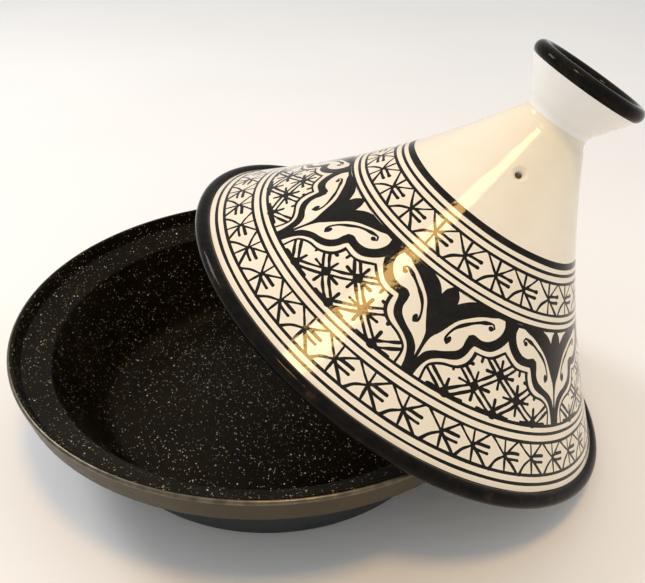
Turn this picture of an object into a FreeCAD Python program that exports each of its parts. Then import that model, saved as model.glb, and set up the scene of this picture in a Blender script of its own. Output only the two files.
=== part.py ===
import FreeCAD, Part
import math
import os

# A tagine: a cast aluminium dish on the table and a tall conical stoneware lid that leans
# against it, one side of its rim on the table and the other side resting on the dish's lip.
# All lengths are in millimetres and all angles in degrees. +Z is up, and the origin is the
# centre of the dish's foot, on the table.

# Driving dimensions of the dish
DISH_LIP_RADIUS = 160.0
DISH_HEIGHT = 76.3
BAND_HEIGHT = 15.5
BAND_LOWER_RADIUS = 156.2
LIP_WIDTH = 3.6
LEDGE_OUTER_RADIUS = 153.3
LEDGE_OUTER_HEIGHT = 67.8
LEDGE_INNER_RADIUS = 137.3
LEDGE_INNER_HEIGHT = 61.2
FOOT_RADIUS = 114.0
WALL_TOP_RADIUS = 141.6
WALL_TOP_HEIGHT = 57.0
WALL_THICKNESS = 5.5
FLOOR_THICKNESS = 6.0
SEAT_ROUND = 0.6
FOOT_ROUND = 5.0
WALL_TOP_ROUND = 4.0
BAND_ROUND = 1.4
LIP_ROUND = 1.6
LEDGE_OUTER_ROUND = 2.0
LEDGE_INNER_ROUND = 3.0
FLOOR_ROUND = 20.0

# Driving dimensions of the steel disc that is pressed into the underside of the dish
DISC_RADIUS = 92.0
DISC_THICKNESS = 1.6
DISC_GAP = 0.2
DISC_RING_RADII = (30.0, 50.0, 70.0)
DISC_DIMPLE_RADIUS = 1.6
DISC_DIMPLE_DEPTH = 0.8
DISC_DIMPLE_SPACING = 16.0

# Driving dimensions of the lid, as radius and height above its rim plane
RIM_RADIUS = 146.5
RIM_FOOT_RADIUS = 145.6
RIM_FOOT_WIDTH = 4.6
RIM_INNER_HEIGHT = 7.0
RIM_INNER_SWELL = 1.0
SHOULDER_RADIUS = 139.8
SHOULDER_HEIGHT = 6.1
CONE_SAG = 6.1
NECK_RADIUS = 19.5
NECK_HEIGHT = 148.0
NECK_BLEND_HEIGHT = 6.4
NECK_BLEND_RADIUS = 3.2
NECK_BLEND_HOLLOW = 0.8
LID_WALL = 6.2
CROWN_THICKNESS = 7.0
CROWN_RISE = 1.0
KNOB_LIP_RADIUS = 34.8
KNOB_LIP_ROUND = 4.3
KNOB_TOP_HEIGHT = 177.7
CUP_FLOOR_HEIGHT = 157.5
CUP_FLOOR_RADIUS = 12.0
CUP_SIDE_RADIUS = 16.0
CUP_SIDE_HEIGHT = 158.9
CUP_CORNER_RADIUS = 14.4
CUP_CORNER_HEIGHT = 157.8

# Where the round lip of the knob starts, turns over and ends, as angles round its centre
LIP_START = -48.0
LIP_TOP = 75.0
LIP_END = 198.0

# Driving dimensions of the steam vent through the cone
VENT_HEIGHT = 120.6
VENT_AZIMUTH = -111.5
VENT_BORE_RADIUS = 1.9
VENT_MOUTH_RADIUS = 4.6

# How the lid leans at rest: its tilt, and how far its rim centre stands from the dish's axis
LID_TILT = 30.5
LID_REACH = 83.9

OUT_FOLDER = "parts"


def point(radius, height):
    """A point of an outline in the XZ plane, at a radius and a height."""
    return FreeCAD.Vector(radius, 0, height)


def tangent_length(before, corner, after, radius):
    """How far along each side of a corner a fillet of this radius starts."""
    turn = (before - corner).getAngle(after - corner)
    return radius / math.tan(turn / 2)


def corner_arc(before, corner, after, radius):
    """The fillet of a corner, as an arc tangent to both sides."""
    reach = tangent_length(before, corner, after, radius)
    to_before = (before - corner).normalize()
    to_after = (after - corner).normalize()
    start = corner + to_before * reach
    end = corner + to_after * reach
    bisector = (to_before + to_after).normalize()
    middle = corner + bisector * (math.hypot(reach, radius) - radius)
    return start, middle, end


def rounded_outline(corners):
    """A closed wire through (radius, height, fillet) corners, with the fillets as arcs."""
    places = [point(radius, height) for radius, height, _ in corners]
    edges = []
    pen = None
    first = None
    for index, (_, _, fillet) in enumerate(corners):
        corner = places[index]
        start = end = corner
        if fillet:
            after = places[(index + 1) % len(places)]
            start, middle, end = corner_arc(places[index - 1], corner, after, fillet)
        if pen is not None:
            edges.append(Part.LineSegment(pen, start).toShape())
        if fillet:
            edges.append(Part.Arc(start, middle, end).toShape())
        pen = end
        if first is None:
            first = start
    edges.append(Part.LineSegment(pen, first).toShape())
    return Part.Wire(edges)


def turned(wire):
    """The solid made by turning a closed outline about the Z axis."""
    face = Part.Face(wire)
    solid = face.revolve(FreeCAD.Vector(0, 0, 0), FreeCAD.Vector(0, 0, 1), 360)
    return solid.removeSplitter()


def dish_pan():
    """The cast dish: foot, sloping wall, ledge for the lid, upright band and rounded lip."""
    slope = (WALL_TOP_RADIUS - FOOT_RADIUS) / WALL_TOP_HEIGHT
    wall_width = WALL_THICKNESS * math.hypot(1, slope)
    floor_corner = FOOT_RADIUS - wall_width + slope * FLOOR_THICKNESS
    seat_radius = DISC_RADIUS + DISC_GAP
    corners = [
        (0, DISC_THICKNESS, 0),
        (seat_radius, DISC_THICKNESS, 0),
        (seat_radius, 0, SEAT_ROUND),
        (FOOT_RADIUS, 0, FOOT_ROUND),
        (WALL_TOP_RADIUS, WALL_TOP_HEIGHT, WALL_TOP_ROUND),
        (BAND_LOWER_RADIUS, DISH_HEIGHT - BAND_HEIGHT, BAND_ROUND),
        (DISH_LIP_RADIUS, DISH_HEIGHT, LIP_ROUND),
        (DISH_LIP_RADIUS - LIP_WIDTH, DISH_HEIGHT, LIP_ROUND),
        (LEDGE_OUTER_RADIUS, LEDGE_OUTER_HEIGHT, LEDGE_OUTER_ROUND),
        (LEDGE_INNER_RADIUS, LEDGE_INNER_HEIGHT, LEDGE_INNER_ROUND),
        (floor_corner, FLOOR_THICKNESS, FLOOR_ROUND),
        (0, FLOOR_THICKNESS, 0),
    ]
    return turned(rounded_outline(corners))


def dimple_places():
    """The centres of the dimples in the disc: rings, each evenly spaced round its circle."""
    places = []
    for ring_radius in DISC_RING_RADII:
        count = round(2 * math.pi * ring_radius / DISC_DIMPLE_SPACING)
        for index in range(count):
            angle = 2 * math.pi * index / count
            places.append((ring_radius * math.cos(angle), ring_radius * math.sin(angle)))
    return places


def base_disc():
    """The magnetic steel disc for induction hobs, with rings of shallow round dimples."""
    disc = Part.makeCylinder(DISC_RADIUS, DISC_THICKNESS)
    dimples = []
    for x, y in dimple_places():
        dimples.append(Part.makeCylinder(DISC_DIMPLE_RADIUS, DISC_DIMPLE_DEPTH, FreeCAD.Vector(x, y, 0)))
    return disc.cut(Part.makeCompound(dimples))


def cone_outer_points():
    """Three points of the outside of the cone: shoulder, middle of its hollow curve, neck."""
    shoulder = point(SHOULDER_RADIUS, SHOULDER_HEIGHT)
    neck = point(NECK_RADIUS + NECK_BLEND_RADIUS, NECK_HEIGHT - NECK_BLEND_HEIGHT)
    chord = (neck - shoulder).normalize()
    inward = FreeCAD.Vector(-chord.z, 0, chord.x)
    middle = (shoulder + neck) * 0.5 + inward * CONE_SAG
    return shoulder, middle, neck


def on_cone_curve(circle, height, depth=0):
    """The point at a height on the cone's hollow curve, or on its copy that much deeper."""
    drop = circle.Center.z - height
    across = math.sqrt((circle.Radius + depth) ** 2 - drop ** 2)
    return point(circle.Center.x - across, height)


def lid_cone_outline():
    """The cone's section: rounded rim, hollow-curved wall of even thickness, closed crown."""
    shoulder, middle, neck = cone_outer_points()
    circle = Part.Circle(shoulder, middle, neck)
    inner_rim = on_cone_curve(circle, RIM_INNER_HEIGHT, LID_WALL)
    inner_middle = on_cone_curve(circle, middle.z, LID_WALL)
    inner_neck = on_cone_curve(circle, neck.z - LID_WALL / 2, LID_WALL)
    foot_outer = point(RIM_FOOT_RADIUS, 0)
    foot_inner = point(RIM_FOOT_RADIUS - RIM_FOOT_WIDTH, 0)
    rim_bulge = point(RIM_RADIUS, SHOULDER_HEIGHT / 3)
    inner_bulge = (inner_rim + foot_inner) * 0.5 + FreeCAD.Vector(0, 0, -RIM_INNER_SWELL)
    neck_top = point(NECK_RADIUS, NECK_HEIGHT)
    neck_hollow = point(NECK_RADIUS + NECK_BLEND_HOLLOW, NECK_HEIGHT - NECK_BLEND_HEIGHT / 2)
    crown = point(0, NECK_HEIGHT - CROWN_THICKNESS)
    crown_side = (inner_neck + crown) * 0.5 + FreeCAD.Vector(0, 0, CROWN_RISE)
    edges = [
        Part.LineSegment(foot_inner, foot_outer),
        Part.Arc(foot_outer, rim_bulge, shoulder),
        Part.Arc(shoulder, middle, neck),
        Part.Arc(neck, neck_hollow, neck_top),
        Part.LineSegment(neck_top, point(0, NECK_HEIGHT)),
        Part.LineSegment(point(0, NECK_HEIGHT), crown),
        Part.Arc(crown, crown_side, inner_neck),
        Part.Arc(inner_neck, inner_middle, inner_rim),
        Part.Arc(inner_rim, inner_bulge, foot_inner),
    ]
    return Part.Wire([edge.toShape() for edge in edges])


def steam_vent():
    """The cutter for the steam vent, square to the wall: a small bore with a flared mouth."""
    shoulder, middle, neck = cone_outer_points()
    circle = Part.Circle(shoulder, middle, neck)
    surface = on_cone_curve(circle, VENT_HEIGHT)
    outward = (circle.Center - surface).normalize()
    reach = 2 * LID_WALL
    bore = Part.makeCylinder(VENT_BORE_RADIUS, 2 * reach, surface - outward * reach, outward)
    mouth_depth = VENT_MOUTH_RADIUS - VENT_BORE_RADIUS
    mouth = Part.makeCone(
        VENT_BORE_RADIUS,
        VENT_MOUTH_RADIUS + mouth_depth,
        2 * mouth_depth,
        surface - outward * mouth_depth,
        outward,
    )
    cutter = bore.fuse(mouth)
    cutter.rotate(FreeCAD.Vector(0, 0, 0), FreeCAD.Vector(0, 0, 1), VENT_AZIMUTH)
    return cutter


def knob_outline():
    """The knob's section: a flared stem on the neck, a round lip and a shallow cup on top."""
    lip_centre = point(KNOB_LIP_RADIUS - KNOB_LIP_ROUND, KNOB_TOP_HEIGHT - KNOB_LIP_ROUND)

    def on_lip(degrees):
        angle = math.radians(degrees)
        return lip_centre + point(math.cos(angle), math.sin(angle)) * KNOB_LIP_ROUND

    neck_base = point(NECK_RADIUS, NECK_HEIGHT)
    neck_hollow = point(NECK_RADIUS + NECK_BLEND_HOLLOW, NECK_HEIGHT + NECK_BLEND_HEIGHT / 2)
    stem_start = point(NECK_RADIUS + NECK_BLEND_RADIUS, NECK_HEIGHT + NECK_BLEND_HEIGHT)
    cup_side = point(CUP_SIDE_RADIUS, CUP_SIDE_HEIGHT)
    cup_corner = point(CUP_CORNER_RADIUS, CUP_CORNER_HEIGHT)
    edges = [
        Part.LineSegment(point(0, NECK_HEIGHT), neck_base),
        Part.Arc(neck_base, neck_hollow, stem_start),
        Part.LineSegment(stem_start, on_lip(LIP_START)),
        Part.Arc(on_lip(LIP_START), on_lip(LIP_TOP), on_lip(LIP_END)),
        Part.LineSegment(on_lip(LIP_END), cup_side),
        Part.Arc(cup_side, cup_corner, point(CUP_FLOOR_RADIUS, CUP_FLOOR_HEIGHT)),
        Part.LineSegment(point(CUP_FLOOR_RADIUS, CUP_FLOOR_HEIGHT), point(0, CUP_FLOOR_HEIGHT)),
        Part.LineSegment(point(0, CUP_FLOOR_HEIGHT), point(0, NECK_HEIGHT)),
    ]
    return Part.Wire([edge.toShape() for edge in edges])


def leaned(shape):
    """A lid piece moved from its upright place into the leaning pose, its rim on the table."""
    shape.rotate(FreeCAD.Vector(0, 0, 0), FreeCAD.Vector(0, 1, 0), LID_TILT)
    rim_centre_height = RIM_FOOT_RADIUS * math.sin(math.radians(LID_TILT))
    shape.translate(FreeCAD.Vector(LID_REACH, 0, rim_centre_height))
    return shape


def lid_cone():
    """The glazed stoneware cone with its steam vent."""
    return leaned(turned(lid_cone_outline()).cut(steam_vent()))


def lid_knob():
    """The knob, thrown on its own and luted on the neck of the cone."""
    return leaned(turned(knob_outline()))


def main():
    nodes = {
        "dish_pan": dish_pan(),
        "base_disc": base_disc(),
        "lid_cone": lid_cone(),
        "lid_knob": lid_knob(),
    }
    os.makedirs(OUT_FOLDER, exist_ok=True)
    for name, shape in nodes.items():
        shape.exportStep(os.path.join(OUT_FOLDER, name + ".step"))
        print(name, "solids", len(shape.Solids), "valid", shape.isValid())


main()
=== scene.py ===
import math
import bmesh
import bpy
import numpy as np
from mathutils import Matrix, Vector, geometry, noise


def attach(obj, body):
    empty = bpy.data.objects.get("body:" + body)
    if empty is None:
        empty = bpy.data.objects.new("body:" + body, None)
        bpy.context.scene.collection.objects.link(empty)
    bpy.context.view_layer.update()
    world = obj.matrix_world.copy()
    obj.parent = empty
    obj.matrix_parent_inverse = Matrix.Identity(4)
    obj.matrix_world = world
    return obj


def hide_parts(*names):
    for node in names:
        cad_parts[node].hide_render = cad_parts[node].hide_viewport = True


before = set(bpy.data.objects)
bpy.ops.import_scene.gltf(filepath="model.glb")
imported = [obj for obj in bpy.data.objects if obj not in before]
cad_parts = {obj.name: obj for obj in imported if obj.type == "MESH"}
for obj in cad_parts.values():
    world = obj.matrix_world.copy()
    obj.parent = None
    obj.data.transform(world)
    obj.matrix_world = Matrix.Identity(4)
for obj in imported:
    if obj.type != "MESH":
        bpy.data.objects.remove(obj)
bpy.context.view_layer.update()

# The looks of a tagine: a black flecked dish, and a tall painted lid that leans on it.
# Lengths are in millimetres and angles in degrees until a mesh is made, which is in metres.
MM = 0.001
ON_AXIS = 1e-6

# The dish, with the same measures as its CAD solid
DISC_SEAT_RADIUS = 92.2
DISC_THICKNESS = 1.6
SEAT_ROUND = 0.6
FOOT_RADIUS = 114.0
FOOT_ROUND = 5.0
WALL_TOP_RADIUS = 141.6
WALL_TOP_HEIGHT = 57.0
WALL_TOP_ROUND = 4.0
BAND_LOWER_RADIUS = 156.2
BAND_LOWER_HEIGHT = 60.8
BAND_ROUND = 1.4
DISH_LIP_RADIUS = 160.0
DISH_HEIGHT = 76.3
LIP_WIDTH = 3.6
LIP_ROUND = 1.6
LEDGE_OUTER_RADIUS = 153.3
LEDGE_OUTER_HEIGHT = 67.8
LEDGE_OUTER_ROUND = 2.0
LEDGE_INNER_RADIUS = 137.3
LEDGE_INNER_HEIGHT = 61.2
LEDGE_INNER_ROUND = 3.0
FLOOR_CORNER_RADIUS = 110.8
FLOOR_THICKNESS = 6.0
FLOOR_ROUND = 20.0

# Its outline as (radius, height, fillet) corners, from the middle of the underside round the
# lip and back to the middle of the floor
DISH_CORNERS = (
    (0, DISC_THICKNESS, 0),
    (DISC_SEAT_RADIUS, DISC_THICKNESS, 0),
    (DISC_SEAT_RADIUS, 0, SEAT_ROUND),
    (FOOT_RADIUS, 0, FOOT_ROUND),
    (WALL_TOP_RADIUS, WALL_TOP_HEIGHT, WALL_TOP_ROUND),
    (BAND_LOWER_RADIUS, BAND_LOWER_HEIGHT, BAND_ROUND),
    (DISH_LIP_RADIUS, DISH_HEIGHT, LIP_ROUND),
    (DISH_LIP_RADIUS - LIP_WIDTH, DISH_HEIGHT, LIP_ROUND),
    (LEDGE_OUTER_RADIUS, LEDGE_OUTER_HEIGHT, LEDGE_OUTER_ROUND),
    (LEDGE_INNER_RADIUS, LEDGE_INNER_HEIGHT, LEDGE_INNER_ROUND),
    (FLOOR_CORNER_RADIUS, FLOOR_THICKNESS, FLOOR_ROUND),
    (0, FLOOR_THICKNESS, 0),
)

# The dish's materials, and which of them each stretch of its outline has, in order
# The lip's outer round has a lighter metallic paint of its own, which is a painted highlight.
COATING, BAND, OUTER, LIP_HIGHLIGHT = 0, 1, 2, 3
DISH_PAINTS = (OUTER,) * 9 + (BAND, LIP_HIGHLIGHT) + (COATING,) * 9

# The lid, as radius and height above its rim plane, with the same measures as its CAD solids
RIM_RADIUS = 146.5
RIM_FOOT_RADIUS = 145.6
RIM_FOOT_WIDTH = 4.6
RIM_INNER_HEIGHT = 7.0
RIM_INNER_SWELL = 1.0
SHOULDER_RADIUS = 139.8
SHOULDER_HEIGHT = 6.1
CONE_SAG = 6.1
NECK_RADIUS = 19.5
NECK_HEIGHT = 148.0
NECK_BLEND_HEIGHT = 6.4
NECK_BLEND_RADIUS = 3.2
NECK_BLEND_HOLLOW = 0.8
LID_WALL = 6.2
CROWN_THICKNESS = 7.0
CROWN_RISE = 1.0
KNOB_LIP_RADIUS = 34.8
KNOB_LIP_ROUND = 4.3
KNOB_TOP_HEIGHT = 177.7
CUP_FLOOR_RADIUS = 12.0
CUP_FLOOR_HEIGHT = 157.5
CUP_CORNER_RADIUS = 14.4
CUP_CORNER_HEIGHT = 157.8
CUP_SIDE_RADIUS = 16.0
CUP_SIDE_HEIGHT = 158.9
VENT_HEIGHT = 120.6
VENT_AZIMUTH = -111.5
VENT_BORE_RADIUS = 1.9
VENT_MOUTH_RADIUS = 4.6
VENT_ROUND = 1.0

# Where the round lip of the knob starts, turns over and ends, as angles round its centre
LIP_START = -48.0
LIP_TOP = 75.0
LIP_END = 198.0

# How the lid leans at rest: its tilt, and how far its rim centre stands from the dish's axis
LID_TILT = 30.5
LID_REACH = 83.9

# How fine the meshes are: faces round each piece, and the longest step along an outline's arc
DISH_STEPS = 360
RIM_STEPS = 480
NECK_STEPS = 96
KNOB_STEPS = 192
VENT_STEPS = 64
ARC_STEP_DEGREES = 7.0
ARC_STEP_LENGTH = 6.0
CUT_TOLERANCE = 1e-5
WELD_REACH = 2e-6

# The lid's glazes
CREAM, BLACK, CLAY, RIM = 0, 1, 2, 3

# Places on the cone are (azimuth, slant): slant is the distance up the cone from the foot of
# its rim. The rim ends at SHOULDER_SLANT, and the paint stays below PAINT_TOP.
SHOULDER_SLANT = 8.8
PAINT_MARGIN = 0.4
PAINT_TOP = 186.0

# Spare points between the painted shapes, in rows round the cone
FILL_SPACING = 3.2
FILL_START = SHOULDER_SLANT + FILL_SPACING * 0.8
FILL_TOP = 186.5

# Ring lines: the black of the rim ends at the first edge, and then every second gap is black
RING_EDGES = (
    9.0, 11.9, 13.6, 16.4, 18.1, 33.0, 34.6, 37.5, 39.1, 41.6, 43.3,
    92.3, 93.9, 96.2, 97.8, 100.3, 101.9, 117.5, 119.2, 122.0, 123.7, 126.1, 129.8,
)

# How unsteady the hand was: the drift of rings, of strokes and of a stroke's width, with the
# distance over which each changes
RING_DRIFT, RING_DRIFT_SCALE = 0.3, 30
STROKE_DRIFT, STROKE_DRIFT_SCALE = 0.484, 9
WIDTH_DRIFT, WIDTH_DRIFT_SCALE = 0.5, 4

# Steps along painted edges and brush strokes, and how square a stroke's round ends are
EDGE_STEP = 1.3
BRUSH_STEP = 1.5
CAP_CORNER = 0.7
DOT_STEPS = 12

# Star bands: how many units, lowest and highest slant. A unit's strokes are (width, taper,
# points), with points as (parts of its half width, parts of its half height, millimetres more).
STAR_BANDS = ((39, 17.4, 33.9), (23, 101.1, 118.4))
STAR_SHIFT = 0.12
STAR_STROKES = (
    (1.65, 0.25, ((-0.07, 1, 0), (0, 0, 0), (0.08, -1, 0))),
    (1.75, 0.25, ((-0.98, 1, -0.4), (-0.45, 0.42, 0), (0, 0, 0), (0.5, -0.5, 0), (0.93, -1, 0))),
    (1.6, 0.25, ((0.9, 1, -0.4), (0.4, 0.45, 0), (0, 0, 0), (-0.55, -0.45, 0), (-0.88, -1, 0))),
    (2.05, 0.4, ((0.05, 0, 1.2), (0.4, 0, 1.6), (0.97, 0, 1.5))),
    (2.05, 0.4, ((0.1, 0, -1.3), (0.4, 0, -1.6), (0.93, 0, -1.8))),
)

# Palmettes. Each edge of the right half is (degrees from its axis, slant) points, from its foot
# to the line where it meets the next palmette. A half reaches past that line by OVERLAP, and
# its top follows the ring in CROWN_STEPS steps.
PALMETTE_COUNT = 7
PALMETTE_START = 254.6
PALMETTE_TOP = 92.4
MEETING = 25.75
OVERLAP = 0.6
CROWN_STEPS = 16
LATTICE_EDGE = (
    ((4.1, 43.0), (4.1, 50.0), (5.3, 53.0), (7.6, 55.2), (10.9, 56.8), (13.2, 59.0), (14.9, 62.2),
     (15.7, 66.0), (16.0, 68.3)),
    ((16.0, 68.3), (18.4, 68.3), (21.0, 69.1), (23.2, 71.0), (25.75, 74.2)),
)
HALO_EDGE = (
    ((3.4, 43.0), (3.4, 50.2), (4.5, 53.7), (6.9, 56.3), (10.3, 58.0), (12.3, 60.1), (13.8, 63.0),
     (14.6, 66.6), (14.8, 69.5)),
    ((14.8, 69.5), (18.0, 69.5), (20.3, 70.3), (22.4, 72.2), (25.75, 76.0)),
)
BLACK_EDGE = (
    ((1.8, 43.0), (2.1, 47.0), (2.7, 51.0), (3.8, 54.6), (5.9, 57.3), (9.0, 59.5), (11.3, 62.1),
     (12.8, 66.0), (13.6, 70.0), (14.2, 71.8)),
    ((14.2, 71.8), (17.8, 71.8), (20.5, 73.0), (23.0, 75.9), (24.7, 79.0), (25.75, 81.6)),
)
LEAF = (
    ((0.45, 51.5), (1.4, 56.0), (3.4, 59.5), (6.7, 62.0), (9.3, 64.9), (10.6, 68.5), (10.8, 72.0),
     (11.2, 75.4)),
    ((11.2, 75.4), (12.6, 76.8), (13.4, 76.9), (15.8, 76.1), (18.4, 77.1), (20.7, 79.7),
     (22.2, 83.0), (22.9, 87.0), (22.3, 90.5)),
    ((22.3, 90.5), (19.5, 90.5), (17.2, 89.0), (13.5, 86.8), (9.6, 83.4), (6.3, 79.0), (4.0, 73.5),
     (2.3, 68.5), (1.0, 64.5), (0.5, 59.0), (0.45, 51.5)),
)
LEAF_CURL = (
    (17.6, 83.0), (19.0, 84.2), (18.2, 86.0), (15.7, 85.2), (12.5, 83.0), (9.4, 79.9), (6.9, 76.2),
    (5.5, 72.8), (4.8, 69.6), (4.8, 67.2), (5.7, 66.0),
)
CURL_WIDTH = 1.7
TOP_GAP = (
    ((1.2, 92.2), (9.0, 92.2)),
    ((9.0, 92.2), (6.6, 90.6), (4.6, 88.2), (3.3, 86.0)),
    ((3.3, 86.0), (2.7, 89.4), (1.2, 92.2)),
)

# Dots at the ends of a leaf's curl: azimuth, slant, half width and half height
CURL_DOTS = ((17.7, 83.5, 1.5, 1.3), (5.9, 67.9, 1.3, 2.0))

# The trellis between two palmettes: its half cell in degrees and in slant, the slant of its
# lowest row, where its diagonals start and how many rows they climb (all the rows inwards, one
# outwards), its double lines, its knots as (column, row), and the short arms round each knot
LATTICE_HALF = 7.5
LATTICE_RISE = 10.0
LATTICE_FOOT = 43.4
LATTICE_COLUMNS = (-2, 0, 2)
LATTICE_ROWS_INWARDS = 3
LATTICE_ROWS_OUTWARDS = 1
LATTICE_LINE_SIDE = 1.45
LATTICE_LINE_WIDTH = 1.75
LATTICE_KNOTS = (
    (-1, 1), (1, 1), (0, 2), (0, 0), (-2, 0), (2, 0), (-2, 2), (2, 2), (-1, 3), (1, 3),
)
KNOT_HALF_WIDTH = 2.9
KNOT_HALF_HEIGHT = 2.5
ARM_START_DEGREES = 0.8
ARM_END_DEGREES = 5.0
ARM_WIDTH = 1.85
UPRIGHT_END = 7.2
UPRIGHT_FOOT = 1.0
UPRIGHT_WIDTH = 1.8

# Places in the noise, so that no two painted shapes drift alike
WIDTH_SEED, AZIMUTH_SEED, SLANT_SEED = 7.3, 1.7, 4.1
RING_SEED_STEP = 3.0
STAR_SHIFT_SEED_STEP, STAR_SEED_STEP = 1.7, 0.61
LATTICE_SEED_STEP, CURL_SEED_STEP = 0.37, 0.83

# Layers of the painting. A palmette has layers of its own, from PALMETTES up to its curls.
OUTSIDE, HOLE, RINGS, STROKES, PALMETTES = 0, 1, 2, 3, 4
CURLS = PALMETTES + 4

# Glazes, as (place on the ramp, colour), and the specular levels of the two blacks
CREAM_TONES = ((0.3, (0.85, 0.78, 0.64)), (0.7, (0.93, 0.87, 0.75)))
WHITE_TONES = ((0.3, (0.94, 0.93, 0.90)), (0.7, (0.98, 0.975, 0.96)))
SPECK_TONES = ((0.73, (1, 1, 1)), (0.8, (0.72, 0.6, 0.45)))
BLACK_TONES = (
    (0.40, (0.004, 0.004, 0.004)), (0.62, (0.010, 0.008, 0.006)), (0.78, (0.040, 0.026, 0.014)),
)
CLAY_TONES = ((0.35, (0.42, 0.34, 0.26)), (0.7, (0.60, 0.52, 0.42)))
BLACK_SPECULAR = 0.22
RIM_SPECULAR = 0.08

# The dish's coating and enamels, and the steel of its disc with its turned grooves
COATING_TONES = ((0.3, (0.0022, 0.0014, 0.0004)), (0.75, (0.0070, 0.0045, 0.0014)))
BAND_TONES = ((0.3, (0.038, 0.028, 0.012)), (0.7, (0.052, 0.040, 0.019)))
# A lighter tone for the lip's outer round that stands in for its highlight: a painted highlight.
LIP_HIGHLIGHT_TONES = ((0.3, (0.07, 0.058, 0.040)), (0.7, (0.17, 0.148, 0.110)))
OUTER_TONES = ((0.3, (0.007, 0.0075, 0.008)), (0.7, (0.013, 0.0135, 0.014)))
STEEL_TONES = ((0.2, (0.30, 0.30, 0.31)), (0.8, (0.52, 0.52, 0.53)))
STEEL_GROOVE = 0.8

# Flecks of the coating, in four sizes: (cells per metre, share of the cells with one, size as
# a part of a cell, seed). They lie in looser and denser clouds.
FLECK_SIZES = (
    (330, 0.40, 0.135, 0.3), (620, 0.42, 0.17, 1.1), (1000, 0.24, 0.22, 4.0), (180, 0.14, 0.105, 2.3),
)
FLECK_TONES = ((0.0, (0.22, 0.14, 0.05)), (0.5, (0.60, 0.47, 0.25)), (0.85, (1.0, 0.97, 0.90)))
FLECK_CLOUD_SCALE = 16
FLECK_SMALLEST = 0.35
FLECK_SHARPNESS = 24.0

# Floor, sky by height above the horizon, and lights, in metres and watts
FLOOR_REACH = 60.0
FLOOR_TONES = ((0.3, (0.93, 0.93, 0.93)), (0.7, (0.96, 0.96, 0.96)))
SKY = (
    (0.0, (0.63, 0.63, 0.63)), (0.10, (0.62, 0.62, 0.61)), (0.5, (0.56, 0.56, 0.55)),
    (1.0, (0.80, 0.81, 0.82)),
)
LIGHTS_AIM = (0.03, 0, 0.08)
KEY_PLACE, KEY_SIZE, KEY_POWER = (-1.1, 0.5, 1.3), 0.5, 9.0
LAMP_PLACE, LAMP_SIZE, LAMP_POWER = (0.13, -0.45, 1.60), 0.25, 7.0
WHITE_LIGHT = (1.0, 1.0, 1.0)
LAMP_LIGHT = (1.0, 0.60, 0.20)

# Camera, in metres, with its lens in millimetres
CAMERA_PLACE = (0.03149, -0.39167, 0.33681)
CAMERA_TARGET = (0.03149, 0.09105, 0.03200)
CAMERA_ROLL = 0.536
CAMERA_LENS = 41.22
SENSOR_WIDTH = 36.0
NEAR_CLIP = 0.01


# ---------------------------------------------------------------- outlines

def circle_through(a, b, c):
    """Centre and radius of the circle through three points."""
    system = 2 * np.array([b - a, c - a])
    target = np.array([b @ b - a @ a, c @ c - a @ a])
    centre = np.linalg.solve(system, target)
    return centre, float(np.linalg.norm(a - centre))


def line(start, end, paint=0):
    """A straight stretch of an outline, with the way its outside faces."""
    start, end = np.array(start, float), np.array(end, float)
    along = (end - start) / np.linalg.norm(end - start)
    return {"points": [start, end], "centre": None, "facing": np.array([along[1], -along[0]]),
            "paint": paint}


def arc(start, middle, end, paint=0):
    """A round stretch of an outline through three points."""
    start, middle, end = (np.array(p, float) for p in (start, middle, end))
    centre, radius = circle_through(start, middle, end)
    first, last = (math.atan2(*(p - centre)[::-1]) for p in (start, end))
    side = middle - start
    turn = 1 if side[0] * (end - middle)[1] - side[1] * (end - middle)[0] > 0 else -1
    sweep = (last - first) * turn % (2 * math.pi) * turn
    steps = max(3, math.ceil(abs(math.degrees(sweep)) / ARC_STEP_DEGREES),
                math.ceil(abs(sweep) * radius / ARC_STEP_LENGTH))
    angles = [first + sweep * i / steps for i in range(steps + 1)]
    points = [centre + radius * np.array([math.cos(a), math.sin(a)]) for a in angles]
    return {"points": points, "centre": centre, "facing": turn, "paint": paint}


def fillet(before, corner, after, radius):
    """The arc that rounds a corner."""
    back, ahead = before - corner, after - corner
    back, ahead = back / np.linalg.norm(back), ahead / np.linalg.norm(ahead)
    half_turn = math.acos(float(back @ ahead)) / 2
    reach = radius / math.tan(half_turn)
    bisector = (back + ahead) / np.linalg.norm(back + ahead)
    middle = corner + bisector * (math.hypot(reach, radius) - radius)
    return arc(corner + back * reach, middle, corner + ahead * reach)


def rounded(corners):
    """The stretches of an open outline whose corners are (radius, height, fillet)."""
    places = [np.array(c[:2], float) for c in corners]
    stretches = []
    pen = places[0]
    for before, place, after, corner in zip(places, places[1:], places[2:], corners[1:]):
        if corner[2]:
            bend = fillet(before, place, after, corner[2])
            stretches += [line(pen, bend["points"][0]), bend]
            pen = bend["points"][-1]
        else:
            stretches.append(line(pen, place))
            pen = place
    return stretches + [line(pen, places[-1])]


def cone_points():
    """Shoulder, middle and neck of the cone's hollow curve."""
    shoulder = np.array([SHOULDER_RADIUS, SHOULDER_HEIGHT])
    neck = np.array([NECK_RADIUS + NECK_BLEND_RADIUS, NECK_HEIGHT - NECK_BLEND_HEIGHT])
    chord = (neck - shoulder) / np.linalg.norm(neck - shoulder)
    return shoulder, (shoulder + neck) / 2 + CONE_SAG * np.array([-chord[1], chord[0]]), neck


CONE_CENTRE, CONE_CURVE = circle_through(*cone_points())


def cone_radius(height, depth=0):
    """Radius of the cone at a height, on its outside or that deep in its wall."""
    drop = CONE_CENTRE[1] - height
    return CONE_CENTRE[0] - math.sqrt((CONE_CURVE + depth) ** 2 - drop ** 2)


# ---------------------------------------------------------------- turned meshes

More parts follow.
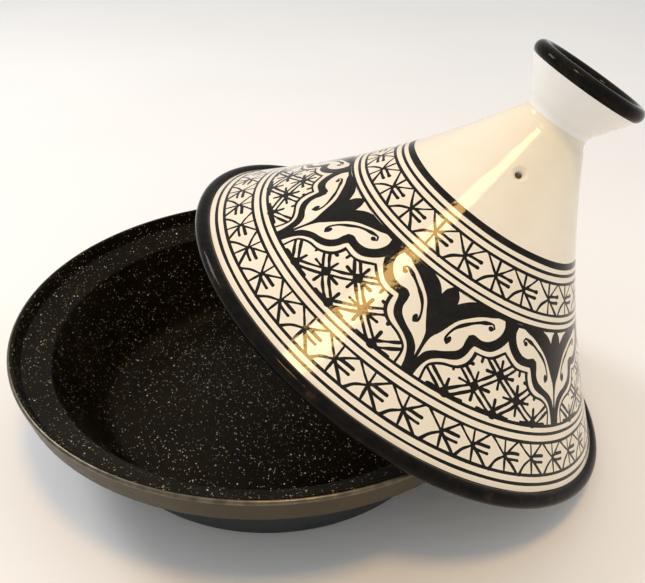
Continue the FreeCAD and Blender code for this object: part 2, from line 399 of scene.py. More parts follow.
def turned_faces(stretches, steps):
    """Vertices, faces and each face's stretch number, of outlines turned about the Z axis."""
    vertices, faces, owners = [], [], []

    def ring(point):
        start = len(vertices)
        count = 1 if point[0] < ON_AXIS else steps
        for i in range(count):
            angle = 2 * math.pi * i / steps
            vertices.append((point[0] * math.cos(angle), point[0] * math.sin(angle), point[1]))
        return start, count

    last = ring(stretches[0]["points"][0])
    for number, stretch in enumerate(stretches):
        for point in stretch["points"][1:]:
            new = ring(point)
            for i in range(steps):
                j = (i + 1) % steps
                corners = [last[0] + i % last[1], last[0] + j % last[1],
                           new[0] + j % new[1], new[0] + i % new[1]]
                faces.append(list(dict.fromkeys(corners)))
                owners.append(number)
            last = new
    return vertices, faces, owners


def set_exact_normals(mesh, stretches):
    """Smooth shading from the outlines themselves, so that no facets show in the gloss."""
    owners = np.zeros(len(mesh.polygons), int)
    mesh.attributes["stretch"].data.foreach_get("value", owners)
    places = np.zeros(len(mesh.vertices) * 3)
    mesh.vertices.foreach_get("co", places)
    corner_vertices = np.zeros(len(mesh.loops), int)
    mesh.loops.foreach_get("vertex_index", corner_vertices)
    corners = places.reshape(-1, 3)[corner_vertices] / MM
    totals = np.zeros(len(mesh.polygons), int)
    mesh.polygons.foreach_get("loop_total", totals)
    corner_owner = np.repeat(owners, totals)
    radii = np.hypot(corners[:, 0], corners[:, 1])
    around = corners[:, :2] / np.maximum(radii, ON_AXIS)[:, None]
    normals = np.zeros_like(corners)
    for number, stretch in enumerate(stretches):
        chosen = corner_owner == number
        if stretch["centre"] is None:
            facing = np.tile(stretch["facing"], (chosen.sum(), 1))
        else:
            out = np.stack([radii[chosen], corners[chosen, 2]], 1) - stretch["centre"]
            facing = out / np.linalg.norm(out, axis=1, keepdims=True) * stretch["facing"]
        facing[radii[chosen] < ON_AXIS, 0] = 0
        normals[chosen, :2] = around[chosen] * facing[:, :1]
        normals[chosen, 2] = facing[:, 1]
    mesh.shade_smooth()
    mesh.normals_split_custom_set([tuple(n) for n in normals])


def make_mesh(name, vertices, faces, owners, paints):
    """A mesh in metres, with each face's stretch and paint."""
    mesh = bpy.data.meshes.new(name)
    mesh.from_pydata([tuple(MM * c for c in v) for v in vertices], [], faces)
    mesh.attributes.new("stretch", "INT", "FACE").data.foreach_set("value", owners)
    mesh.polygons.foreach_set("material_index", paints)
    mesh.update()
    return mesh


def new_piece(mesh, materials):
    """An object of the mesh's name in the scene, with its materials."""
    piece = bpy.data.objects.new(mesh.name, mesh)
    bpy.context.scene.collection.objects.link(piece)
    for material in materials:
        mesh.materials.append(material)
    return piece


def turned_piece(name, stretches, steps, materials, body, node, matrix=None):
    """A closed turned piece that stands for a CAD node and rides on its body."""
    vertices, faces, owners = turned_faces(stretches, steps)
    paints = [stretches[number]["paint"] for number in owners]
    mesh = make_mesh(name, vertices, faces, owners, paints)
    set_exact_normals(mesh, stretches)
    piece = new_piece(mesh, materials)
    if matrix:
        mesh.transform(matrix)
    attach(piece, body)
    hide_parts(node)


# ---------------------------------------------------------------- painted pattern

def slant_radius(slant):
    """Radius of the cone at a slant distance."""
    start = math.atan2(SHOULDER_HEIGHT - CONE_CENTRE[1], SHOULDER_RADIUS - CONE_CENTRE[0])
    return CONE_CENTRE[0] + CONE_CURVE * math.cos(start - (slant - SHOULDER_SLANT) / CONE_CURVE)


def plan(azimuth, slant):
    """Where a place on the cone lies in plan."""
    radius, angle = slant_radius(slant), math.radians(azimuth)
    return radius * math.cos(angle), radius * math.sin(angle)


def wobble(azimuth, slant, seed, reach, scale):
    """The small drift of a brush held by hand, the same at 0 and 360 degrees."""
    x, y = plan(azimuth, slant)
    return reach * noise.noise(Vector((x / scale, y / scale, seed)))


def through(points, step):
    """Evenly sampled smooth curve through (azimuth, slant) points."""
    head = [(2 * points[0][0] - points[1][0], 2 * points[0][1] - points[1][1])]
    tail = [(2 * points[-1][0] - points[-2][0], 2 * points[-1][1] - points[-2][1])]
    knots = [np.array(p, float) for p in head + list(points) + tail]
    curve = []
    for a, b, c, d in zip(knots, knots[1:], knots[2:], knots[3:]):
        per_degree = math.radians(slant_radius((b[1] + c[1]) / 2))
        length = math.hypot((c[0] - b[0]) * per_degree, c[1] - b[1])
        steps = max(1, round(length / step))
        for i in range(steps):
            t = i / steps
            curve.append(0.5 * (2 * b + (c - a) * t + (2 * a - 5 * b + 4 * c - d) * t * t
                                + (3 * b - a - 3 * c + d) * t ** 3))
    return curve + [knots[-2]]


def outline(*stretches):
    """A closed outline of smooth stretches that meet at sharp corners."""
    points = []
    for stretch in stretches:
        points += through(stretch, EDGE_STEP)[:-1]
    points.append(np.array(stretches[-1][-1], float))
    return points


def brush(points, width, taper):
    """The outline of a brush stroke with round ends, thinner at its start by the taper."""
    centre = through(points, BRUSH_STEP)
    left, right = [], []
    for i, place in enumerate(centre):
        ahead, behind = centre[min(i + 1, len(centre) - 1)], centre[max(i - 1, 0)]
        per_degree = math.radians(slant_radius(place[1]))
        along = np.array([(ahead - behind)[0] * per_degree, (ahead - behind)[1]])
        along /= np.linalg.norm(along)
        load = 1 - taper * (1 - i / (len(centre) - 1))
        drift = wobble(place[0], place[1], WIDTH_SEED, WIDTH_DRIFT, WIDTH_DRIFT_SCALE)
        half = width * load * (1 + drift) / 2
        side = np.array([-along[1] / per_degree, along[0]]) * half
        end = np.array([along[0] / per_degree, along[1]]) * half
        left.append(place + side)
        right.append(place - side)
        out, across = CAP_CORNER * end, CAP_CORNER * side
        if i == 0:
            cap_start = [place - out - across, place - end, place - out + across]
        if i == len(centre) - 1:
            cap_end = [place + out + across, place + end, place + out - across]
    return cap_start + left + cap_end + right[::-1]


def dot(azimuth, slant, half_width, half_height):
    """A round dab of the brush."""
    per_degree = math.radians(slant_radius(slant))
    turns = [2 * math.pi * i / DOT_STEPS for i in range(DOT_STEPS)]
    return [np.array([azimuth + math.cos(t) * half_width / per_degree,
                      slant + math.sin(t) * half_height]) for t in turns]


def mirrored(points):
    """The same outline on the other side of its axis, walked the other way."""
    return [(-azimuth, slant) for azimuth, slant in points][::-1]


def star(half, low, high):
    """One unit of a star band: an upright, two crossing diagonals and two short bars."""
    middle, rise = (low + high) / 2, (high - low) / 2
    return [brush([(across * half, middle + up * rise + more) for across, up, more in points],
                  width, taper) for width, taper, points in STAR_STROKES]


def halves(edge):
    """Both halves of a palmette's edge as one closed outline, up to its top slant."""
    right = outline(*edge)
    side = MEETING + OVERLAP
    across = [(side * (1 - k / CROWN_STEPS), PALMETTE_TOP) for k in range(2 * CROWN_STEPS + 1)]
    shoulder = [(side, right[-1][1] + OVERLAP)]
    return right + shoulder + across + mirrored(shoulder) + mirrored(right)


def palmette():
    """The layers of one palmette, lowest first, each as (outlines, paint)."""
    leaf = outline(*LEAF)[:-1]
    gap = outline(*TOP_GAP)[:-1]
    curl = brush(LEAF_CURL, CURL_WIDTH, 0)
    dots = [dot(*measures) for measures in CURL_DOTS]
    return [
        ([halves(LATTICE_EDGE)], BLACK),
        ([halves(HALO_EDGE)], CREAM),
        ([halves(BLACK_EDGE)], BLACK),
        ([leaf, mirrored(leaf), gap, mirrored(gap)], CREAM),
        ([curl, mirrored(curl)] + dots + [mirrored(shape) for shape in dots], BLACK),
    ]


def lattice():
    """The trellis between two palmettes: double diagonals, round knots and short arms."""
    strokes = []
    for column in LATTICE_COLUMNS:
        for lean in (-1, 1):
            rows = LATTICE_ROWS_INWARDS if column * lean <= 0 else LATTICE_ROWS_OUTWARDS
            for side in (-LATTICE_LINE_SIDE, LATTICE_LINE_SIDE):
                foot = column * LATTICE_HALF + side
                points = [(foot + lean * row * LATTICE_HALF, LATTICE_FOOT + row * LATTICE_RISE)
                          for row in (0, rows / 2, rows)]
                strokes.append(brush(points, LATTICE_LINE_WIDTH, 0))
    for column, row in LATTICE_KNOTS:
        azimuth, slant = column * LATTICE_HALF, LATTICE_FOOT + row * LATTICE_RISE
        arm_start = ARM_START_DEGREES * math.radians(slant_radius(slant))
        strokes.append(dot(azimuth, slant, KNOT_HALF_WIDTH, KNOT_HALF_HEIGHT))
        strokes.append(brush([(azimuth - ARM_END_DEGREES, slant), (azimuth - ARM_START_DEGREES, slant)],
                             ARM_WIDTH, 0))
        strokes.append(brush([(azimuth + ARM_START_DEGREES, slant), (azimuth + ARM_END_DEGREES, slant)],
                             ARM_WIDTH, 0))
        strokes.append(brush([(azimuth, slant + UPRIGHT_END), (azimuth, slant + arm_start)],
                             UPRIGHT_WIDTH, 0))
        if row:
            strokes.append(brush([(azimuth, slant - UPRIGHT_END), (azimuth, slant - UPRIGHT_FOOT)],
                                 UPRIGHT_WIDTH, 0))
    return strokes


class Painting:
    """The polygons that are painted on the cone, laid over each other in plan."""

    def __init__(self):
        self.points, self.faces, self.layers = [], [], []

    def add(self, outline_points, layer, azimuth=0.0, drift=0.0):
        """Adds an outline of (azimuth, slant) points, turned to an azimuth, to a layer."""
        places = []
        for place in outline_points:
            turn = place[0] + azimuth
            slant = min(max(place[1], SHOULDER_SLANT + PAINT_MARGIN), PAINT_TOP)
            around, along = (wobble(turn, slant, seed + drift, STROKE_DRIFT, STROKE_DRIFT_SCALE)
                             for seed in (AZIMUTH_SEED, SLANT_SEED))
            per_degree = math.radians(slant_radius(slant))
            places.append(plan(turn + around / per_degree, slant + along))
        self.add_plan(places, layer)

    def add_plan(self, places, layer):
        """Adds a polygon given in plan."""
        area = sum(a[0] * b[1] - a[1] * b[0] for a, b in zip(places, places[1:] + places[:1]))
        if area < 0:
            places = places[::-1]
        start = len(self.points)
        self.points += places
        self.faces.append(list(range(start, start + len(places))))
        self.layers.append(layer)

    def add_ring(self, radius_of, steps, layer):
        """Adds the disc inside a closed line round the cone."""
        places = []
        for i in range(steps):
            angle = 360 * i / steps
            radius, turn = radius_of(angle), math.radians(angle)
            places.append((radius * math.cos(turn), radius * math.sin(turn)))
        self.add_plan(places, layer)

    def add_fill(self):
        """Spare points between the shapes, so that the faces follow the round surface."""
        slant, row = FILL_START, 0
        while slant < FILL_TOP:
            count = round(2 * math.pi * slant_radius(slant) / FILL_SPACING)
            for i in range(count):
                self.points.append(plan(360 * (i + 0.5 * (row % 2)) / count, slant))
            slant += FILL_SPACING
            row += 1


def lay_out_painting():
    """Every painted shape on the cone, and the glaze of each layer of a palmette."""
    art = Painting()
    art.add_ring(lambda angle: SHOULDER_RADIUS, RIM_STEPS, OUTSIDE)
    art.add_ring(lambda angle: NECK_RADIUS + NECK_BLEND_RADIUS, NECK_STEPS, HOLE)
    for number, edge in enumerate(RING_EDGES):
        art.add_ring(lambda angle: slant_radius(edge + wobble(
            angle, edge, RING_SEED_STEP * number, RING_DRIFT, RING_DRIFT_SCALE)), RIM_STEPS, RINGS)
    for count, low, high in STAR_BANDS:
        half = 180 / count
        for number in range(count):
            shift = noise.noise(Vector((number * STAR_SHIFT_SEED_STEP, low, 0)))
            centre = number * 2 * half + STAR_SHIFT * half * shift
            for shape in star(half, low, high):
                art.add(shape, STROKES, centre, number * STAR_SEED_STEP)
    period = 360 / PALMETTE_COUNT
    layers = palmette()
    trellis = lattice()
    for number in range(PALMETTE_COUNT):
        axis = number * period + PALMETTE_START
        for shape in trellis:
            art.add(shape, STROKES, axis + period / 2, number * LATTICE_SEED_STEP)
        for layer, (shapes, _) in enumerate(layers, PALMETTES):
            for shape in shapes:
                art.add(shape, layer, axis, number * CURL_SEED_STEP if layer == CURLS else 0.0)
    art.add_fill()
    return art, [paint for _, paint in layers]


def face_paint(owners, layers, palmette_paints):
    """The paint of one face, from the shapes that it lies in, or None off the cone."""
    inside = [layers[i] for i in owners]
    if OUTSIDE not in inside or HOLE in inside:
        return None
    rings = inside.count(RINGS)
    top = max(inside)
    if rings == 0:
        return RIM
    if rings % 2 == 0:
        return BLACK
    if top >= PALMETTES:
        return palmette_paints[top - PALMETTES]
    return BLACK if top == STROKES else CREAM


def painted_skin():
    """Vertices, faces and paints of the cone's outside, cut along every painted edge."""
    art, palmette_paints = lay_out_painting()
    points = [Vector(point) for point in art.points]
    cut = geometry.delaunay_2d_cdt(points, [], art.faces, 0, CUT_TOLERANCE)
    places, _, triangles, _, _, owners = cut
    faces, paints = [], []
    for triangle, owner in zip(triangles, owners):
        paint = face_paint(owner, art.layers, palmette_paints)
        if paint is not None:
            faces.append(list(triangle))
            paints.append(paint)
    used = sorted({v for face in faces for v in face})
    renumber = {old: new for new, old in enumerate(used)}
    vertices = []
    for old in used:
        x, y = places[old]
        radius = math.hypot(x, y)
        height = CONE_CENTRE[1] - math.sqrt(CONE_CURVE ** 2 - (CONE_CENTRE[0] - radius) ** 2)
        vertices.append((x, y, height))
    return vertices, [[renumber[v] for v in face] for face in faces], paints


# ---------------------------------------------------------------- the lid

def lid_matrix():
    """From the upright lid's own frame to the leaning pose."""
    lift = RIM_FOOT_RADIUS * math.sin(math.radians(LID_TILT))
    place = Matrix.Translation(Vector((LID_REACH, 0, lift)) * MM)
    return place @ Matrix.Rotation(math.radians(LID_TILT), 4, "Y")


def cone_stretches():
    """The cone's outline apart from its painted outside: from the inside's crown to the
    shoulder, and from the outside's neck to the axis."""
    shoulder, middle, neck = cone_points()
    inner_rim = (cone_radius(RIM_INNER_HEIGHT, LID_WALL), RIM_INNER_HEIGHT)
    inner_middle = (cone_radius(middle[1], LID_WALL), middle[1])
    inner_neck_height = neck[1] - LID_WALL / 2
    inner_neck = (cone_radius(inner_neck_height, LID_WALL), inner_neck_height)
    foot_outer, foot_inner = (RIM_FOOT_RADIUS, 0), (RIM_FOOT_RADIUS - RIM_FOOT_WIDTH, 0)
    inner_bulge = ((inner_rim[0] + foot_inner[0]) / 2, RIM_INNER_HEIGHT / 2 - RIM_INNER_SWELL)
    crown = (0, NECK_HEIGHT - CROWN_THICKNESS)
    crown_side = (inner_neck[0] / 2, (inner_neck[1] + crown[1]) / 2 + CROWN_RISE)
    inside = [
        arc(crown, crown_side, inner_neck, CREAM),
        arc(inner_neck, inner_middle, inner_rim, CREAM),
        arc(inner_rim, inner_bulge, foot_inner, CREAM),
        line(foot_inner, foot_outer, CLAY),
        arc(foot_outer, (RIM_RADIUS, SHOULDER_HEIGHT / 3), shoulder, RIM),
    ]
    neck_top = (NECK_RADIUS, NECK_HEIGHT)
    neck_hollow = (NECK_RADIUS + NECK_BLEND_HOLLOW, NECK_HEIGHT - NECK_BLEND_HEIGHT / 2)
    top = [arc(neck, neck_hollow, neck_top, CREAM), line(neck_top, (0, NECK_HEIGHT), CREAM)]
    return inside, top


def vent_cutter():
    """The shape of the steam vent: a bore with a flared mouth, square to the wall."""
    radius = cone_radius(VENT_HEIGHT)
    surface = Vector((radius, 0, VENT_HEIGHT))
    outward = Vector((CONE_CENTRE[0] - radius, 0, CONE_CENTRE[1] - VENT_HEIGHT)).normalized()
    depth = VENT_MOUTH_RADIUS - VENT_BORE_RADIUS
    corners = [
        (0, -2 * LID_WALL, 0),
        (VENT_BORE_RADIUS, -2 * LID_WALL, 0),
        (VENT_BORE_RADIUS, -depth, VENT_ROUND),
        (VENT_MOUTH_RADIUS + depth, depth, 0),
        (0, depth, 0),
    ]
    vertices, faces, _ = turned_faces(rounded(corners), VENT_STEPS)
    mesh = make_mesh("vent_cutter", vertices, faces, [-1] * len(faces), [CREAM] * len(faces))
    turn = outward.to_track_quat("Z", "Y").to_matrix().to_4x4()
    spin = Matrix.Rotation(math.radians(VENT_AZIMUTH), 4, "Z")
    mesh.transform(spin @ Matrix.Translation(surface * MM) @ turn)
    return bpy.data.objects.new("vent_cutter", mesh)


def cut_vent(piece):
    """Cuts the vent through a piece's wall, for good."""
    cutter = vent_cutter()
    bpy.context.scene.collection.objects.link(cutter)
    cut = piece.modifiers.new("vent", "BOOLEAN")
    cut.object = cutter
    cut.operation = "DIFFERENCE"
    cut.solver = "EXACT"
    depsgraph = bpy.context.evaluated_depsgraph_get()
    result = bpy.data.meshes.new_from_object(piece.evaluated_get(depsgraph))
    piece.modifiers.clear()
    piece.data = result
    bpy.data.objects.remove(cutter)


def make_lid_cone(materials):
    """The cone, painted outside, with its vent."""
    inside, top = cone_stretches()
    outside = {"centre": CONE_CENTRE, "facing": -1}
    vertices, faces, paints = painted_skin()
    owners = [len(inside + top)] * len(faces)
    first = 0
    for stretches, steps in ((inside, RIM_STEPS), (top, NECK_STEPS)):
        more, more_faces, more_owners = turned_faces(stretches, steps)
        base = len(vertices)
        vertices += more
        faces += [[base + v for v in face] for face in more_faces]
        owners += [first + number for number in more_owners]
        paints += [stretches[number]["paint"] for number in more_owners]
        first += len(stretches)
    mesh = make_mesh("lid_cone_glazed", vertices, faces, owners, paints)
    weld = bmesh.new()
    weld.from_mesh(mesh)
    bmesh.ops.remove_doubles(weld, verts=weld.verts, dist=WELD_REACH)
    bmesh.ops.recalc_face_normals(weld, faces=weld.faces)
    weld.to_mesh(mesh)
    weld.free()
    piece = new_piece(mesh, materials)
    cut_vent(piece)
    set_exact_normals(piece.data, inside + top + [outside])
    piece.data.transform(lid_matrix())
    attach(piece, "lid")
    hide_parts("lid_cone")


def make_lid_knob(materials):
    """The flared knob with its black lip and cup."""
    lip = np.array([KNOB_LIP_RADIUS - KNOB_LIP_ROUND, KNOB_TOP_HEIGHT - KNOB_LIP_ROUND])

    def on_lip(degrees):
        return lip + KNOB_LIP_ROUND * np.array([math.cos(math.radians(degrees)),
                                                math.sin(math.radians(degrees))])

    base = (NECK_RADIUS, NECK_HEIGHT)
    hollow = (NECK_RADIUS + NECK_BLEND_HOLLOW, NECK_HEIGHT + NECK_BLEND_HEIGHT / 2)
    stem = (NECK_RADIUS + NECK_BLEND_RADIUS, NECK_HEIGHT + NECK_BLEND_HEIGHT)
    cup_side = (CUP_SIDE_RADIUS, CUP_SIDE_HEIGHT)
    cup_corner = (CUP_CORNER_RADIUS, CUP_CORNER_HEIGHT)
    cup_edge = (CUP_FLOOR_RADIUS, CUP_FLOOR_HEIGHT)
    stretches = [
        line((0, NECK_HEIGHT), base, CREAM),
        arc(base, hollow, stem, CREAM),
        line(stem, on_lip(LIP_START), CREAM),
        arc(on_lip(LIP_START), on_lip(LIP_TOP), on_lip(LIP_END), BLACK),
        line(on_lip(LIP_END), cup_side, BLACK),
        arc(cup_side, cup_corner, cup_edge, CREAM),
        line(cup_edge, (0, CUP_FLOOR_HEIGHT), CREAM),
    ]
    turned_piece("lid_knob_glazed", stretches, KNOB_STEPS, materials, "lid",
                 "lid_knob", lid_matrix())


# ---------------------------------------------------------------- materials

def new_material(name):
    """A material and its node tree, with a Principled shader."""
    material = bpy.data.materials.new(name)
    material.use_nodes = True
    tree = material.node_tree
    return material, tree, tree.nodes["Principled BSDF"]


def add_node(tree, kind, values=None, **settings):
    """A node with some of its inputs and settings filled in."""
    node = tree.nodes.new(kind)
    for key, value in settings.items():
        setattr(node, key, value)
    for key, value in (values or {}).items():
        node.inputs[key].default_value = value
    return node


def object_place(tree):
    """The place on the piece, in its own frame."""
    return tree.nodes.new("ShaderNodeTexCoord").outputs["Object"]


def ramp(tree, source, stops):
    """A colour ramp on a value, from (position, colour) stops."""
    node = tree.nodes.new("ShaderNodeValToRGB")
    elements = node.color_ramp.elements
    while len(elements) < len(stops):
        elements.new(0.5)
    for element, (position, colour) in zip(elements, stops):
        element.position = position
        element.color = (*colour, 1)
    tree.links.new(source, node.inputs["Fac"])
    return node.outputs["Color"]


def noise_value(tree, scale, detail=2.0, roughness=0.5):
    """Noise over the piece, scale in features per metre."""
    node = add_node(tree, "ShaderNodeTexNoise",
                    {"Scale": scale, "Detail": detail, "Roughness": roughness})
    tree.links.new(object_place(tree), node.inputs["Vector"])
    return node.outputs["Fac"]


def maths(tree, operation, first, second=None, third=None):
    """A maths node on sockets or numbers."""
    node = add_node(tree, "ShaderNodeMath", operation=operation)
    for socket, value in zip(node.inputs, (first, second, third)):
        if value is None:
            continue
        if isinstance(value, (int, float)):
            socket.default_value = value
        else:
            tree.links.new(value, socket)
    return node.outputs[0]


def mix_colour(tree, factor, first, second):
    """Two colours mixed by a factor."""
    node = add_node(tree, "ShaderNodeMix", data_type="RGBA")
    for socket, value in zip((0, 6, 7), (factor, first, second)):
        tree.links.new(value, node.inputs[socket])
    return node.outputs[2]


def base_colour(tree, shader, source, tones):
    """The shader's colour, from a value through a ramp."""
    tree.links.new(ramp(tree, source, tones), shader.inputs["Base Color"])


def uneven_roughness(tree, shader, scale, spread, least):
    """Roughness that drifts over the piece, from a least value upwards."""
    rough = maths(tree, "MULTIPLY_ADD", noise_value(tree, scale), spread, least)
    tree.links.new(rough, shader.inputs["Roughness"])


def bump(tree, shader, height, strength, distance):
    """Surface relief from a height value."""
    node = add_node(tree, "ShaderNodeBump", {"Strength": strength, "Distance": distance})
    tree.links.new(height, node.inputs["Height"])
    tree.links.new(node.outputs["Normal"], shader.inputs["Normal"])


def pale_glaze(name, tones):
    """Pale glaze: clouded between two tones, with a few brown specks and a wet gloss."""
    material, tree, shader = new_material(name)
    clouds = ramp(tree, noise_value(tree, 22, detail=3), tones)
    specks = ramp(tree, noise_value(tree, 900, detail=1), SPECK_TONES)
    tint = add_node(tree, "ShaderNodeMix", data_type="RGBA", blend_type="MULTIPLY")
    tint.inputs[0].default_value = 0.35
    tree.links.new(clouds, tint.inputs[6])
    tree.links.new(specks, tint.inputs[7])
    tree.links.new(tint.outputs[2], shader.inputs["Base Color"])
    uneven_roughness(tree, shader, scale=60, spread=0.07, least=0.05)
    shader.inputs["Specular IOR Level"].default_value = 0.22
    shader.inputs["Subsurface Weight"].default_value = 0.08
    shader.inputs["Subsurface Radius"].default_value = (0.004, 0.003, 0.002)
    bump(tree, shader, noise_value(tree, 150, detail=3), strength=0.3, distance=0.0004)
    return material


def black_glaze(name, specular):
    """Brushed-on black: nearly opaque, brown where the brush ran thin, glossy."""
    material, tree, shader = new_material(name)
    base_colour(tree, shader, noise_value(tree, 130, detail=4, roughness=0.65), BLACK_TONES)
    uneven_roughness(tree, shader, scale=200, spread=0.06, least=0.03)
    shader.inputs["Specular IOR Level"].default_value = specular
    shader.inputs["Specular Tint"].default_value = (1.0, 0.95, 0.86, 1)
    bump(tree, shader, noise_value(tree, 240, detail=3), strength=0.35, distance=0.0004)
    return material


def bare_clay():
    """The unglazed foot of the rim."""
    material, tree, shader = new_material("bare_clay")
    base_colour(tree, shader, noise_value(tree, 400, detail=4), CLAY_TONES)
    shader.inputs["Roughness"].default_value = 0.8
    bump(tree, shader, noise_value(tree, 1500, detail=3), strength=0.4, distance=0.0003)
    return material


def flecks(tree, scale, share, size, seed):
    """Round flecks of one size: 1 inside and 0 outside, and a value that picks their tone."""
    shift = add_node(tree, "ShaderNodeVectorMath", operation="ADD")
    shift.inputs[1].default_value = (seed, seed * 2, seed * 3)
    tree.links.new(object_place(tree), shift.inputs[0])
    cells = add_node(tree, "ShaderNodeTexVoronoi", {"Scale": scale, "Randomness": 1.0})
    tree.links.new(shift.outputs[0], cells.inputs["Vector"])
    picks = add_node(tree, "ShaderNodeSeparateColor")
    tree.links.new(cells.outputs["Color"], picks.inputs[0])
    crowding = maths(tree, "MULTIPLY", noise_value(tree, FLECK_CLOUD_SCALE), 2 * share)
    chosen = maths(tree, "LESS_THAN", picks.outputs[0], crowding)
    reach = maths(tree, "MULTIPLY_ADD", picks.outputs[1], size, size * FLECK_SMALLEST)
    edge = maths(tree, "SUBTRACT", reach, cells.outputs["Distance"])
    sharp = add_node(tree, "ShaderNodeClamp")
    tree.links.new(maths(tree, "MULTIPLY", edge, FLECK_SHARPNESS), sharp.inputs[0])
    return maths(tree, "MULTIPLY", sharp.outputs[0], chosen), picks.outputs[2]


def stone_coating():
    """Black non-stick coating with cream and tan flecks."""
    material, tree, shader = new_material("stone_coating")
    colour = ramp(tree, noise_value(tree, 45, detail=3), COATING_TONES)
    for measures in FLECK_SIZES:
        mask, pick = flecks(tree, *measures)
        colour = mix_colour(tree, mask, colour, ramp(tree, pick, FLECK_TONES))
    tree.links.new(colour, shader.inputs["Base Color"])
    shader.inputs["Specular IOR Level"].default_value = 0.10
    shader.inputs["Specular Tint"].default_value = (1.0, 0.80, 0.50, 1)
    uneven_roughness(tree, shader, scale=90, spread=0.18, least=0.26)
    bump(tree, shader, noise_value(tree, 420), strength=0.3, distance=0.0003)
    return material


def enamel(name, tones, cloud_scale, spread, least, grain):
    """A material and its shader: enamel clouded between two tones, with a fine grain."""
    material, tree, shader = new_material(name)
    base_colour(tree, shader, noise_value(tree, cloud_scale, detail=4), tones)
    uneven_roughness(tree, shader, 250, spread, least)
    bump(tree, shader, noise_value(tree, 900), grain, distance=0.0002)
    return material, shader


def band_enamel():
    """Taupe enamel of the upright band, satin, with a soft metallic tone."""
    material, shader = enamel("band_enamel", BAND_TONES, cloud_scale=30, spread=0.14, least=0.34,
                              grain=0.18)
    shader.inputs["Metallic"].default_value = 0.25
    shader.inputs["Specular IOR Level"].default_value = 0.2
    return material


def painted_lip_highlight():
    """The outer round of the dish's lip: a lighter metallic tone, painted in as the bright highlight
    along it.
    """
    material, shader = enamel("painted_lip_highlight", LIP_HIGHLIGHT_TONES, cloud_scale=160, spread=0.12, least=0.24,
                              grain=0.15)
    shader.inputs["Metallic"].default_value = 0.85
    return material


def outer_enamel():
    """Charcoal enamel of the outside wall and underside."""
    material, shader = enamel("outer_enamel", OUTER_TONES, cloud_scale=30, spread=0.14, least=0.38,
                              grain=0.2)
    shader.inputs["Specular IOR Level"].default_value = 0.2
    return material


def turned_steel():
    """Turned steel of the base disc: fine rings round its centre."""
    material, tree, shader = new_material("turned_steel")
    place = add_node(tree, "ShaderNodeSeparateXYZ")
    tree.links.new(object_place(tree), place.inputs[0])
    squares = [maths(tree, "POWER", place.outputs[axis], 2) for axis in (0, 1)]
    radius = maths(tree, "SQRT", maths(tree, "ADD", *squares))
    turns = maths(tree, "MULTIPLY", radius, 2 * math.pi / (STEEL_GROOVE * MM))
    grooves = maths(tree, "SINE", turns)
    shade = maths(tree, "MULTIPLY_ADD", grooves, 0.25, noise_value(tree, 60, detail=4))
    base_colour(tree, shader, shade, STEEL_TONES)
    shader.inputs["Metallic"].default_value = 1.0
    shader.inputs["Roughness"].default_value = 0.34
    bump(tree, shader, grooves, strength=0.2, distance=0.0001)
    return material


# ---------------------------------------------------------------- the dish

def make_dish():
    """The dish, with its coating inside, its enamels outside, and a painted highlight on the outer
    round of its lip.
    """
    stretches = rounded(DISH_CORNERS)
    for stretch, paint in zip(stretches, DISH_PAINTS):
        stretch["paint"] = paint
    materials = [stone_coating(), band_enamel(), outer_enamel(), painted_lip_highlight()]
    turned_piece("dish_casting", stretches, DISH_STEPS, materials, "dish",
                 "dish_pan")


def finish_disc():
    """The CAD disc in turned steel."""
    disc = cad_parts["base_disc"]
    disc.data.materials.clear()
    disc.data.materials.append(turned_steel())


# ---------------------------------------------------------------- floor, lights, camera

def make_floor():
    """A pale floor that reaches to the horizon."""
    corners = ((-1, -1), (1, -1), (1, 1), (-1, 1))
    vertices = [(FLOOR_REACH * x, FLOOR_REACH * y, 0.0) for x, y in corners]
    mesh = bpy.data.meshes.new("studio_floor")
    mesh.from_pydata(vertices, [], [(0, 1, 2, 3)])
    mesh.shade_smooth()
    material, tree, shader = new_material("studio_floor")
    base_colour(tree, shader, noise_value(tree, 3), FLOOR_TONES)
    shader.inputs["Roughness"].default_value = 0.7
    floor = new_piece(mesh, [material])


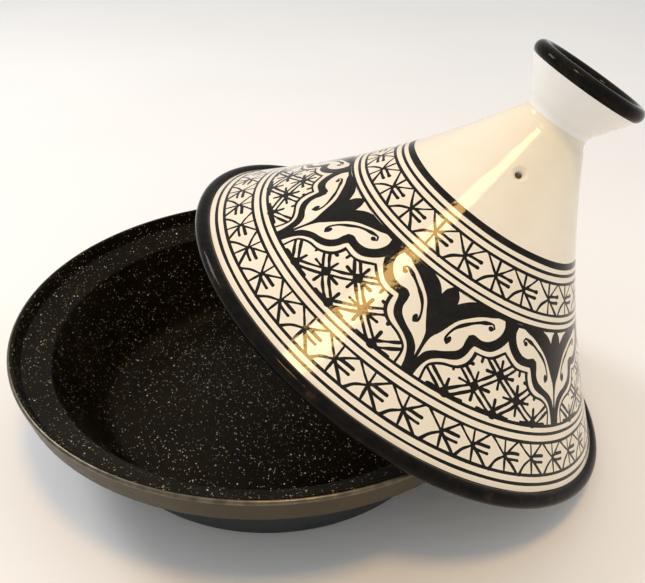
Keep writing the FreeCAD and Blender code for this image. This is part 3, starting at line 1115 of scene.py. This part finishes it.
def area_light(name, place, size, power, colour):
    """A square soft light aimed at the object."""
    lamp = bpy.data.lights.new(name, "AREA")
    lamp.shape = "RECTANGLE"
    lamp.size = lamp.size_y = size
    lamp.energy = power
    lamp.color = colour
    light = bpy.data.objects.new(name, lamp)
    light.location = place
    aim = Vector(LIGHTS_AIM) - Vector(place)
    light.rotation_euler = aim.to_track_quat("-Z", "Y").to_euler()
    bpy.context.scene.collection.objects.link(light)


def make_lights():
    """Soft studio light from all round, a key light, and a warm lamp for the golden streak."""
    world = bpy.data.worlds.new("studio")
    bpy.context.scene.world = world
    world.use_nodes = True
    tree = world.node_tree
    way = add_node(tree, "ShaderNodeSeparateXYZ")
    tree.links.new(tree.nodes.new("ShaderNodeTexCoord").outputs["Generated"], way.inputs[0])
    sky = ramp(tree, way.outputs[2], SKY)
    tree.links.new(sky, tree.nodes["Background"].inputs["Color"])
    bpy.context.scene.view_settings.view_transform = "Standard"
    area_light("key", KEY_PLACE, KEY_SIZE, KEY_POWER, WHITE_LIGHT)
    area_light("lamp", LAMP_PLACE, LAMP_SIZE, LAMP_POWER, LAMP_LIGHT)


def make_camera():
    """The camera at the picture's viewing angle."""
    lens = bpy.data.cameras.new("camera")
    lens.sensor_width = SENSOR_WIDTH
    lens.lens = CAMERA_LENS
    lens.clip_start = NEAR_CLIP
    camera = bpy.data.objects.new("camera", lens)
    aim = (Vector(CAMERA_TARGET) - Vector(CAMERA_PLACE)).to_track_quat("-Z", "Y").to_matrix()
    roll = Matrix.Rotation(math.radians(CAMERA_ROLL), 3, "Z")
    camera.matrix_world = Matrix.Translation(CAMERA_PLACE) @ (aim @ roll).to_4x4()
    bpy.context.scene.collection.objects.link(camera)
    bpy.context.scene.camera = camera


# ---------------------------------------------------------------- the model

cream = pale_glaze("cream_glaze", CREAM_TONES)
white = pale_glaze("white_glaze", WHITE_TONES)
black = black_glaze("black_glaze", BLACK_SPECULAR)
rim = black_glaze("rim_glaze", RIM_SPECULAR)
make_lid_cone([cream, black, bare_clay(), rim])
make_lid_knob([white, rim])
make_dish()
finish_disc()
make_floor()
make_lights()
make_camera()
